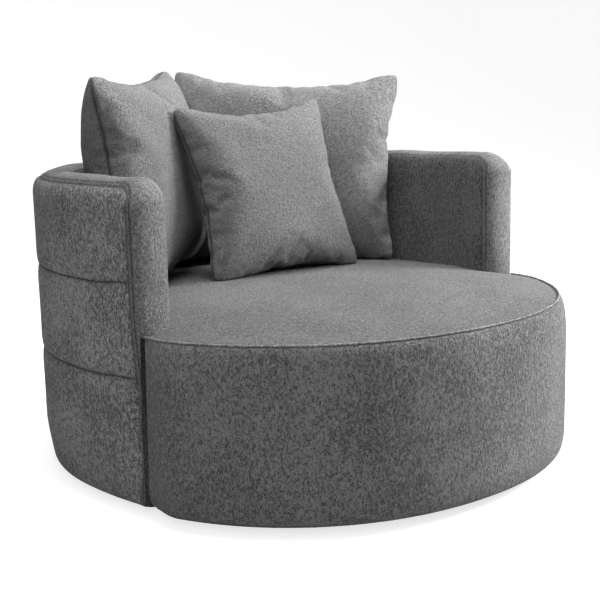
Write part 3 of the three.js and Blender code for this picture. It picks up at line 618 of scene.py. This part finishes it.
class CHAIR_OT_border_strip(bpy.types.Operator):
    """Caps the wall with a crowned strip that runs down both arm fronts, with double seams"""

    bl_idname = "chair.border_strip"
    bl_label = "Border strip"

    def execute(self, context):
        wall = settings().wall
        bottom = settings().seat.floor_gap + 0.006
        origin, across, up, half, crown, roundness = border_frames(bottom)
        steps = np.linalg.norm(np.diff(origin, axis=0), axis=1)
        run = np.concatenate([[0.0], np.cumsum(steps)])[:, None]
        share = 2.0 * graded(76, 1.8)[None, :] - 1.0
        place = share * half[:, None]
        rise = crown[:, None] * (1.0 - share ** 2) ** roundness[:, None]
        across_steps = np.hypot(np.diff(place, axis=1), np.diff(rise, axis=1))
        from_outer = np.pad(np.cumsum(across_steps, 1), ((0, 0), (1, 0)))
        edge = np.minimum(from_outer, from_outer[:, -1:] - from_outer)
        groove = np.exp(-((edge - wall.stitch_gap) / 0.0021) ** 2)
        seam_roll = np.exp(-edge / 0.0034)
        between = np.exp(-((edge - wall.stitch_gap / 2.0) / 0.0030) ** 2)
        pucker = ripple(run, 0.0125, 0.4) * np.exp(-((edge - wall.stitch_gap) / 0.007) ** 2)
        rise = rise - 0.0052 * groove - 0.0045 * seam_roll + 0.0010 * between + 0.0007 * pucker
        rise = rise + 0.0012 * ripple(run, 0.23, 1.3) * (1.0 - share ** 2)
        under_share = np.linspace(1.0, -1.0, 9)[None, :]
        under = np.broadcast_to(under_share * half[:, None] * 0.96, (len(half), 9))
        under_rise = np.full_like(under, -0.012)
        sideways = np.concatenate([place, under], 1)[:, :, None]
        lifted = np.concatenate([rise, under_rise], 1)[:, :, None]
        points = origin[:, None] + across[:, None] * sideways + up[:, None] * lifted
        joint = drum_joint(points)
        points = points - 0.007 * joint[:, :, None] * up[:, None]
        faces = sweep_faces(*points.shape[:2])
        # Painted shade in the double-seam grooves, along the rolled edges and in the joint with the drum,
        # a contact shadow.
        seam_shade_share = np.maximum(np.maximum(groove, seam_roll), joint[:, :share.shape[1]])
        # Painted light and shade: the border strip's tones are scaled by its painted light factor.
        cloth = chenille("chenille_border", 0.0034, streak=1.3, painted_light_factor=1.02, mottle=0.75)
        piece = make_piece(
            "wall_border_strip", points, faces, cloth, "chair",
            ["border_strip", "border_foam"], with_back(seam_shade_share, points.shape[1]),
        )
        return {"FINISHED"}


DRUM_END = 71.6
DRUM_END_FALL = 1.1


class CHAIR_OT_seat_top(bpy.types.Operator):
    """Covers the seat with its crowned round panel"""

    bl_idname = "chair.seat_top"
    bl_label = "Seat top"

    def execute(self, context):
        seat = settings().seat
        corner = np.linspace(DRUM_END - 1.0, DRUM_END + 2.0, 31)
        degrees = np.concatenate([np.linspace(-180.0, 180.0, 541)[:-1], corner, -corner])
        angle = np.radians(np.unique(degrees.round(3)))[None, :]
        share = np.linspace(0.0, 1.0, 101)[1:][:, None] ** 0.85
        seam = seat_radius(angle, seat.seam_inset * (1.0 - tuck_share(angle)) + 0.0018)
        hidden = smooth((np.abs(np.degrees(angle)) - DRUM_END + 0.2) / 1.4)
        edge = seam + (np.minimum(seam, wall_hit(angle) + 0.012) - seam) * hidden
        radius = share * edge
        height = crown_height(radius / seam)
        distance = (1.0 - share) * edge
        height = height - 0.0018 * np.exp(-distance / 0.004)
        height = height + 0.0009 * ripple(radius * np.cos(angle), 0.37) * np.cos(
            2.0 * np.pi * radius * np.sin(angle) / 0.43
        )
        top = seat_points(angle, radius, height).reshape(-1, 3)
        under = seat_points(angle, edge, height[-1:] - 0.012).reshape(-1, 3)
        middle = [[0.0, -seat.centre_y, float(crown_height(0.0))]]
        floor = [[0.0, -seat.centre_y, seat.seam_height - 0.012]]
        count = angle.shape[1]
        rings = share.shape[0]
        ring = np.arange(rings)[:, None] * count
        sector = np.arange(count)[None, :]
        beside = (sector + 1) % count
        quads = np.stack(
            [ring + sector, ring + beside, ring + count + beside, ring + count + sector], -1
        ).reshape(-1, 4)
        centre = (rings + 1) * count
        inner = np.stack([np.arange(count), np.roll(np.arange(count), -1), np.full(count, centre)], -1)
        outer = inner + rings * count
        outer[:, 2] = centre + 1
        points = np.concatenate([top, under, middle, floor])
        faces = quads.tolist() + inner.tolist() + outer.tolist()
        # Painted shade: the seat top is made a little darker than the plain cloth.
        cloth = chenille("chenille_seat", 0.0038, painted_light_factor=0.92, sheen=0.06, mottle=0.5)
        piece = make_piece(
            "seat_top_panel", points, faces, cloth, "chair", ["seat_top_cover", "seat_foam"]
        )
        return {"FINISHED"}


def drum_angle(turn, height):
    """Angle from the front, by the share of the way to the drum's end, crowded toward the end,
    which lies a little farther round the seat lower down."""
    seat = settings().seat
    end = np.radians(DRUM_END + DRUM_END_FALL * smooth(1.0 - height / seat.seam_height))
    return end * np.sign(turn) * (1.0 - (1.0 - np.abs(turn)) ** 1.25)


class CHAIR_OT_seat_front(bpy.types.Operator):
    """Wraps the front of the seat in a tall panel and lays the raised seam along its top"""

    bl_idname = "chair.seat_front"
    bl_label = "Seat front"

    def execute(self, context):
        seat = settings().seat
        turn = np.linspace(-1.0, 1.0, 451)[:, None]
        height = seat.floor_gap + (seat.seam_height - seat.floor_gap) * graded(96)[None, :]
        back_height = np.linspace(seat.seam_height - 0.006, seat.floor_gap, 8)[None, :]
        angle = drum_angle(turn, height)
        above = height - seat.floor_gap
        below = seat.seam_height - height
        fade = 1.0 - tuck_share(angle)
        shoulder = 1.0 - np.sqrt(1.0 - np.clip(1.0 - below / 0.075, 0.0, 1.0) ** 2)
        inset = seat.seam_inset * fade * shoulder
        inset = inset + edge_round(above, 0.018, 0.020) + 0.010 * np.clip(1.0 - above / 0.05, 0, 1) ** 2
        from_end = drum_angle(1.0, height) - np.abs(angle)
        inset = inset + edge_round(0.53 * from_end, 0.006, 0.007)
        run = 0.55 * angle
        inset = inset + 0.0008 * ripple(run, 0.29) * np.sin(np.pi * above / 0.34)
        inset = inset + 0.0005 * ripple(run, 0.019, 0.7) * np.exp(-below / 0.012)
        height = height - 0.0016 * np.exp(-below / 0.003)
        # Painted shade at the drum's ends, in the joint with the arms.
        seam_shade_share = np.broadcast_to(1.0 * np.exp(-from_end / 0.002), inset.shape)
        back_angle = drum_angle(turn, back_height)
        depths = np.concatenate([inset, np.full(back_angle.shape, 0.036)], 1)
        angles = np.concatenate([angle, back_angle], 1)
        heights = np.concatenate([height, back_height], 1)
        points = seat_points(angles, seat_radius(angles, 0.0) - depths, heights)
        faces = sweep_faces(*points.shape[:2])
        # Painted shade: the drum is made a fifth darker than the plain cloth.
        cloth = chenille("chenille_drum", 0.0034, streak=1.7, painted_light_factor=0.80, mottle=0.95)
        panel = make_piece(
            "seat_front_panel", points, faces, cloth, "chair",
            ["seat_side_cover", "seat_side_foam"], with_back(seam_shade_share, points.shape[1]),
        )

        round_turn = np.linspace(0.0, 2.0 * np.pi, 13)[:-1][None, :]
        angle, fade = angle[:, -1:], fade[:, -1:]
        thick = seat.ridge_radius * (1.0 + 0.12 * ripple(0.55 * angle, 0.017, 0.2))
        seam = seat_radius(angle, seat.seam_inset * fade) + 0.0008 + thick * np.cos(round_turn)
        ridge_height = seat.seam_height + 0.0010 + thick * np.sin(round_turn)
        ridge_points = seat_points(angle, seam, ridge_height)
        # Painted highlight: the raised seam is made half again lighter than the plain cloth.
        ridge_cloth = chenille("chenille_ridge_painted_highlight", 0.0030, painted_light_factor=1.5)
        make_piece(
            "seat_seam_ridge", ridge_points, sweep_faces(*ridge_points.shape[:2]), ridge_cloth,
            "chair", ["seat_piping"],
        )
        return {"FINISHED"}


# Pillows

Pillow = namedtuple("Pillow", "width height thickness draw_in dip sink x y z yaw lean roll")


def pillow_places():
    """Size and place of each pillow, with its angles in degrees."""
    sizes = settings().pillows
    back = (sizes.back_width, sizes.back_height, sizes.back_thickness, 0.022, 0.028)
    front = (sizes.front_width, sizes.front_height, sizes.front_thickness, 0.016, 0.016)
    return {
        "pillow_left": Pillow(*back, 0.003, -0.1965, 0.281, 0.606, 41.2, 6.5, -2.2),
        "pillow_right": Pillow(*back, 0.016, 0.1955, 0.281, 0.606, -41.2, 6.5, 2.2),
        "pillow_front": Pillow(*front, 0.016, 0.014, 0.111, 0.576, -4.2, 19.3, -2.1),
    }


def pillow_matrix(pillow):
    """Stands a pillow made upright and facing −Y in its place: rolled, leaned back, turned, moved."""
    angles = {"Y": pillow.roll, "X": -pillow.lean, "Z": pillow.yaw}
    matrix = Matrix.Identity(4)
    for axis, angle in angles.items():
        matrix = Matrix.Rotation(np.radians(angle), 4, axis) @ matrix
    return Matrix.Translation((pillow.x, pillow.y, pillow.z)) @ matrix


def pillow_faces(columns, rows):
    """Faces of two sheets of columns × rows cells that share their edge, and the number of points."""
    width = columns + 1
    grid = np.arange(width * (rows + 1)).reshape(rows + 1, width)
    inside = np.zeros_like(grid, bool)
    inside[1:-1, 1:-1] = True
    back = grid.copy()
    back[inside] = grid.size + np.arange(inside.sum())
    faces = []
    for sheet, order in ((grid, (0, 1, 2, 3)), (back, (3, 2, 1, 0))):
        corners = [sheet[:-1, :-1], sheet[:-1, 1:], sheet[1:, 1:], sheet[1:, :-1]]
        faces.append(np.stack([corners[index] for index in order], -1).reshape(-1, 4))
    return np.concatenate(faces).tolist(), inside


def pillow_points(pillow, columns, rows, fullness):
    """Two stuffed sheets: the sides draw in by a parabola between the corners, and the thickness
    is a power of the product of two parabolas."""
    across = np.linspace(-1.0, 1.0, columns + 1)[None, :]
    up = np.linspace(-1.0, 1.0, rows + 1)[:, None]
    x = across * (pillow.width / 2.0 - pillow.draw_in * (1.0 - up ** 2))
    dip = np.where(up > 0.0, pillow.dip, pillow.draw_in)
    z = up * (pillow.height / 2.0 - dip * (1.0 - across ** 2))
    corner = 1.0 - 0.045 * np.abs(across * up) ** 9
    x, z = x * corner, z * corner
    swell = fullness * pillow.thickness / 2.0 * ((1.0 - across ** 2) * (1.0 - up ** 2)) ** 0.6
    return np.stack([x, -swell, z], -1), np.stack([x, swell, z], -1)


def seat_surface(x, y):
    """Height of the seat's top over a place in plan."""
    seat = settings().seat
    dy = y + seat.centre_y
    angle = np.arctan2(x, -dy)
    share = np.hypot(x, dy) / seat_radius(angle, seat.seam_inset)
    return crown_height(np.clip(share, 0.0, 1.0))


def settle(points, side):
    """Presses a pillow's points off the seat, the wall and, for a back pillow, its neighbour."""
    wall = settings().wall
    x, y, z = points.T
    z = np.maximum(z, seat_surface(x, y) + 0.002)
    dy = y - wall.centre_y
    distance = np.hypot(x, dy)
    room = wall.radius - wall.depth - 0.003
    held = np.where((z < wall.seam_height + wall.crown) & (dy > 0.0), np.minimum(distance, room), distance)
    scale = held / np.maximum(distance, 1e-6)
    x, y = x * scale, wall.centre_y + dy * scale
    if side:
        x = side * np.maximum(side * x, 0.001)
    return np.stack([x, y, z], -1)


def mesh_points(mesh):
    """The points of a mesh as an array."""
    points = np.empty(3 * len(mesh.vertices))
    mesh.vertices.foreach_get("co", points)
    return points.reshape(-1, 3)


def stuff(pillow, columns, rows):
    """Sews two flat sheets together round their edge and blows them up as cloth, the edge gathered
    a little, until they are as thick as the pillow. Gives the points, scaled to the pillow's size,
    its top edge sunk by a parabola, and the faces."""
    flat = pillow._replace(draw_in=0.0, dip=0.0)
    front, back = pillow_points(flat, columns, rows, 0.14)
    faces, inside = pillow_faces(columns, rows)
    points = np.concatenate([front.reshape(-1, 3), back[inside]])
    mesh = bpy.data.meshes.new("bag")
    mesh.from_pydata(points.tolist(), [], faces)
    turn_out(mesh)
    bag = bpy.data.objects.new("bag", mesh)
    bpy.context.scene.collection.objects.link(bag)
    seam = bag.vertex_groups.new(name="seam")
    seam.add(np.flatnonzero(~inside.ravel()).tolist(), 1.0, "REPLACE")
    modifier = bag.modifiers.new("stuffing", "CLOTH")
    modifier.collision_settings.use_collision = False
    modifier.point_cache.frame_start = 1
    modifier.point_cache.frame_end = STUFFING_STEPS
    cloth = modifier.settings
    cloth.quality = 5
    cloth.mass = 0.3
    cloth.air_damping = 8.0
    cloth.tension_stiffness = 40.0
    cloth.compression_stiffness = 40.0
    cloth.shear_stiffness = 5.0
    cloth.tension_damping = 25.0
    cloth.compression_damping = 25.0
    cloth.shear_damping = 25.0
    cloth.bending_stiffness = 0.2
    cloth.use_pressure = True
    cloth.uniform_pressure_force = 5.0
    cloth.effector_weights.gravity = 0.0
    cloth.vertex_group_shrink = "seam"
    cloth.shrink_max = 0.03
    for step in range(1, STUFFING_STEPS + 1):
        bpy.context.scene.frame_set(step)
    blown = mesh_points(bag.evaluated_get(bpy.context.evaluated_depsgraph_get()).data)
    bpy.data.objects.remove(bag)
    bpy.context.scene.frame_set(1)
    low, high = blown.min(0), blown.max(0)
    size = np.array([pillow.width, pillow.thickness, pillow.height])
    shaped = (blown - (low + high) / 2.0) * size / (high - low)
    across = 2.0 * shaped[:, 0] / pillow.width
    up = np.clip(2.0 * shaped[:, 2] / pillow.height, 0.0, 1.0)
    shaped[:, 2] -= pillow.sink * (1.0 - across ** 2) * up ** 2
    return sewn(shaped, inside), faces


STUFFING_STEPS = 32


def seam_rings(inside):
    """For each point of both sheets, how many cells it lies from the sewn edge."""
    rows, columns = inside.shape
    row = np.minimum(np.arange(rows), np.arange(rows)[::-1])[:, None]
    column = np.minimum(np.arange(columns), np.arange(columns)[::-1])[None, :]
    rings = np.minimum(row, column)
    return np.concatenate([rings.ravel(), rings[inside]])


def sewn(points, inside):
    """Pulls the sewn edge in between its two sheets, which stand up beside it and pucker."""
    rings = seam_rings(inside)
    low, high = points.min(0), points.max(0)
    middle = (low + high) / 2.0
    outward = (points - middle) / (high - low)
    outward[:, 1] = 0.0
    outward /= np.maximum(np.abs(outward).max(1, keepdims=True), 1e-6)
    outward = np.where(np.abs(outward) > 0.93, np.sign(outward), 0.0)
    pull = np.select([rings == 0, rings == 1], [-SEAM_PULL, SEAM_PUFF], 0.0)
    moved = points + outward * pull[:, None]
    run = points[:, 0] + points[:, 2]
    pucker = 0.0011 * ripple(run, 0.027) * np.exp(-((rings - 1.5) / 1.6) ** 2) * (rings > 0)
    moved[:, 1] += np.sign(points[:, 1]) * pucker
    return moved


SEAM_PULL = 0.0045
SEAM_PUFF = 0.0015


def make_pillow(name, cloth, side):
    """A stuffed pillow in its place, pressed off what it rests on."""
    pillow = pillow_places()[name]
    columns = round(pillow.width / settings().pillows.thread)
    rows = round(pillow.height / settings().pillows.thread)
    points, faces = stuff(pillow, columns, rows)
    matrix = np.array(pillow_matrix(pillow))
    placed = settle(points @ matrix[:3, :3].T + matrix[:3, 3], side)
    # Painted shade along each pillow's sewn edge.
    seam = seam_rings(pillow_faces(columns, rows)[1]) == 0
    piece = make_piece("loose_" + name, placed, faces, cloth, name, [name], seam)
    finish = piece.modifiers.new("smooth", "SUBSURF")
    finish.levels = 1
    finish.render_levels = 1
    return piece


class CHAIR_OT_pillows(bpy.types.Operator):
    """Stuffs the two back pillows and the smaller one in front of them"""

    bl_idname = "chair.pillows"
    bl_label = "Pillows"

    def execute(self, context):
        # Painted light: the right pillow is made lighter than the left and the front ones, standing in for
        # light it lacks. The left and front are scaled a little too.
        make_pillow("pillow_left", chenille("chenille_left", 0.0034, painted_light_factor=1.05, mottle=0.5), -1)
        make_pillow("pillow_right", chenille("chenille_right_painted_light", 0.0034, painted_light_factor=1.42, mottle=0.5), 1)
        make_pillow("pillow_front", chenille("chenille_front", 0.0034, painted_light_factor=0.97, mottle=0.5), 0)
        return {"FINISHED"}


class CHAIR_OT_frame_finish(bpy.types.Operator):
    """Gives the timber, springs, swivel and glides that stay from the frame their materials"""

    bl_idname = "chair.frame_finish"
    bl_label = "Frame finish"

    def execute(self, context):
        timber = grained(
            "frame_timber", (0.20, 0.12, 0.06), (0.42, 0.28, 0.15), 14.0, (1.0, 9.0, 1.0), 0.65
        )
        steel = grained(
            "zinc_steel", (0.32, 0.33, 0.34), (0.55, 0.56, 0.57), 160.0, (1.0, 1.0, 1.0), 0.38, 1.0
        )
        plastic = grained(
            "glide_plastic", (0.010, 0.010, 0.011), (0.022, 0.022, 0.023), 320.0, (1.0, 1.0, 1.0), 0.55
        )
        dust_cloth = grained(
            "dust_cloth", (0.008, 0.008, 0.009), (0.026, 0.026, 0.027), 700.0, (1.0, 1.0, 1.0), 0.95
        )
        looks = {
            "wall_bottom_rail": timber, "wall_top_rail": timber, "wall_upright": timber,
            "bottom_board": timber, "seat_ring": timber, "seat_post": timber,
            "seat_side_board": timber, "base_board": timber, "seat_spring": steel,
            "swivel": steel, "base_bolt": steel, "seat_bolt": steel, "glide": plastic,
            "dust_cover": dust_cloth,
        }
        for node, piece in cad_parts.items():
            found = [look for start, look in looks.items() if node.startswith(start)]
            if not found:
                continue
            piece.data.materials.clear()
            piece.data.materials.append(found[0])
        return {"FINISHED"}


FLAT_FLOOR = 4.0
BACKDROP_BEND = 4.0
BACKDROP_GLOW = 0.75


class CHAIR_OT_stage(bpy.types.Operator):
    """Sets the camera, a pale floor and soft studio light"""

    bl_idname = "chair.stage"
    bl_label = "Stage"

    def execute(self, context):
        camera_data = bpy.data.cameras.new("camera")
        camera_data.sensor_width = 36.0
        camera_data.sensor_fit = "HORIZONTAL"
        camera_data.lens = 68.12
        camera = bpy.data.objects.new("camera", camera_data)
        bpy.context.scene.collection.objects.link(camera)
        camera.matrix_world = camera_matrix((-1.5664, -1.9536, 0.7766), -38.71, 0.184, 10.078, -1.37)
        bpy.context.scene.camera = camera

        turn = np.linspace(0.0, 2.0 * np.pi, 129)[:-1][None, :]
        bend = np.linspace(0.0, np.pi / 2.0, 33)[:, None]
        radius = np.concatenate([[[0.01]], FLAT_FLOOR + BACKDROP_BEND * np.sin(bend)])
        height = np.concatenate([[[0.0]], BACKDROP_BEND * (1.0 - np.cos(bend))]) - 0.0005
        points = np.stack(np.broadcast_arrays(
            radius * np.cos(turn), radius * np.sin(turn), height
        ), -1)
        mesh = bpy.data.meshes.new("floor")
        mesh.from_pydata(
            points.reshape(-1, 3).tolist(), [], sweep_faces(*points.shape[:2])[:-1]
        )
        mesh.polygons.foreach_set("use_smooth", np.ones(len(mesh.polygons), bool))
        floor = bpy.data.objects.new("floor", mesh)
        bpy.context.scene.collection.objects.link(floor)
        material, tree, surface, add = node_graph("pale_floor")
        surface.inputs["Base Color"].default_value = (*settings().finishes.floor, 1.0)
        surface.inputs["Roughness"].default_value = 0.8
        surface.inputs["Specular IOR Level"].default_value = 0.0
        surface.inputs["Emission Color"].default_value = (1.0, 1.0, 1.0, 1.0)
        seen = add("ShaderNodeLightPath").outputs["Is Camera Ray"]
        glow = add("ShaderNodeMath", {0: seen, 1: BACKDROP_GLOW}, operation="MULTIPLY")
        tree.links.new(glow.outputs[0], surface.inputs["Emission Strength"])
        mesh.materials.append(material)

        world = bpy.data.worlds.new("studio")
        world.use_nodes = True
        background = world.node_tree.nodes["Background"]
        background.inputs["Color"].default_value = (1.0, 1.0, 1.0, 1.0)
        background.inputs["Strength"].default_value = 0.4
        bpy.context.scene.world = world
        bpy.context.scene.view_settings.view_transform = "Standard"
        soft_light("key_light", (2.5, -1.2, 1.6), 1.2, 250.0)
        soft_light("top_light", (0.1, -0.2, 3.1), 1.8, 125.0)
        soft_light("side_light", (-2.1, -2.0, 1.8), 1.4, 30.0)
        return {"FINISHED"}


def camera_matrix(place, azimuth, yaw, pitch, roll):
    """A camera at a place, turned by the azimuth and the yaw, tilted down and rolled, in degrees."""
    turn, tilt, lean = np.radians([azimuth + yaw * -1.0, pitch, roll])
    forward = np.array([-np.sin(turn), np.cos(turn), 0.0])
    right = np.array([np.cos(turn), np.sin(turn), 0.0])
    upward = np.array([0.0, 0.0, 1.0])
    look = np.cos(tilt) * forward - np.sin(tilt) * upward
    above = np.cos(tilt) * upward + np.sin(tilt) * forward
    beside = np.cos(lean) * right + np.sin(lean) * above
    over = np.cos(lean) * above - np.sin(lean) * right
    matrix = np.eye(4)
    matrix[:3, :3] = np.stack([beside, over, -look], -1)
    matrix[:3, 3] = place
    return Matrix(matrix.tolist())


def soft_light(name, place, size, power):
    """A square area light that faces the chair."""
    data = bpy.data.lights.new(name, "AREA")
    data.size = size
    data.energy = power
    light = bpy.data.objects.new(name, data)
    bpy.context.scene.collection.objects.link(light)
    target = np.array([0.0, 0.0, 0.35])
    look = target - np.array(place)
    back = -look / np.linalg.norm(look)
    side = np.cross([0.0, 0.0, 1.0], back)
    side = side / np.linalg.norm(side)
    matrix = np.eye(4)
    matrix[:3, :3] = np.stack([side, np.cross(back, side), back], -1)
    matrix[:3, 3] = place
    light.matrix_world = Matrix(matrix.tolist())
    return light


class CHAIR_PT_panel(bpy.types.Panel):
    """Lists the chair's pieces in the sidebar"""

    bl_idname = "CHAIR_PT_panel"
    bl_label = "Cuddle chair"
    bl_space_type = "VIEW_3D"
    bl_region_type = "UI"
    bl_category = "Cuddle chair"

    def draw(self, context):
        for operator in OPERATORS:
            self.layout.operator(operator.bl_idname)


OPERATORS = (
    CHAIR_OT_stage,
    CHAIR_OT_frame_finish,
    CHAIR_OT_outer_bands,
    CHAIR_OT_inner_panel,
    CHAIR_OT_border_strip,
    CHAIR_OT_seat_top,
    CHAIR_OT_seat_front,
    CHAIR_OT_pillows,
)
GROUPS = (SeatSizes, WallSizes, PillowSizes, Finishes, ChairSettings)


def register():
    for cls in GROUPS + OPERATORS + (CHAIR_PT_panel,):
        bpy.utils.register_class(cls)
    bpy.types.Scene.cuddle_chair = PointerProperty(type=ChairSettings)


def unregister():
    del bpy.types.Scene.cuddle_chair
    for cls in reversed(GROUPS + OPERATORS + (CHAIR_PT_panel,)):
        bpy.utils.unregister_class(cls)


def main():
    register()
    for operator in OPERATORS:
        group, name = operator.bl_idname.split(".")
        getattr(getattr(bpy.ops, group), name)()


if __name__ == "__main__":
    main()
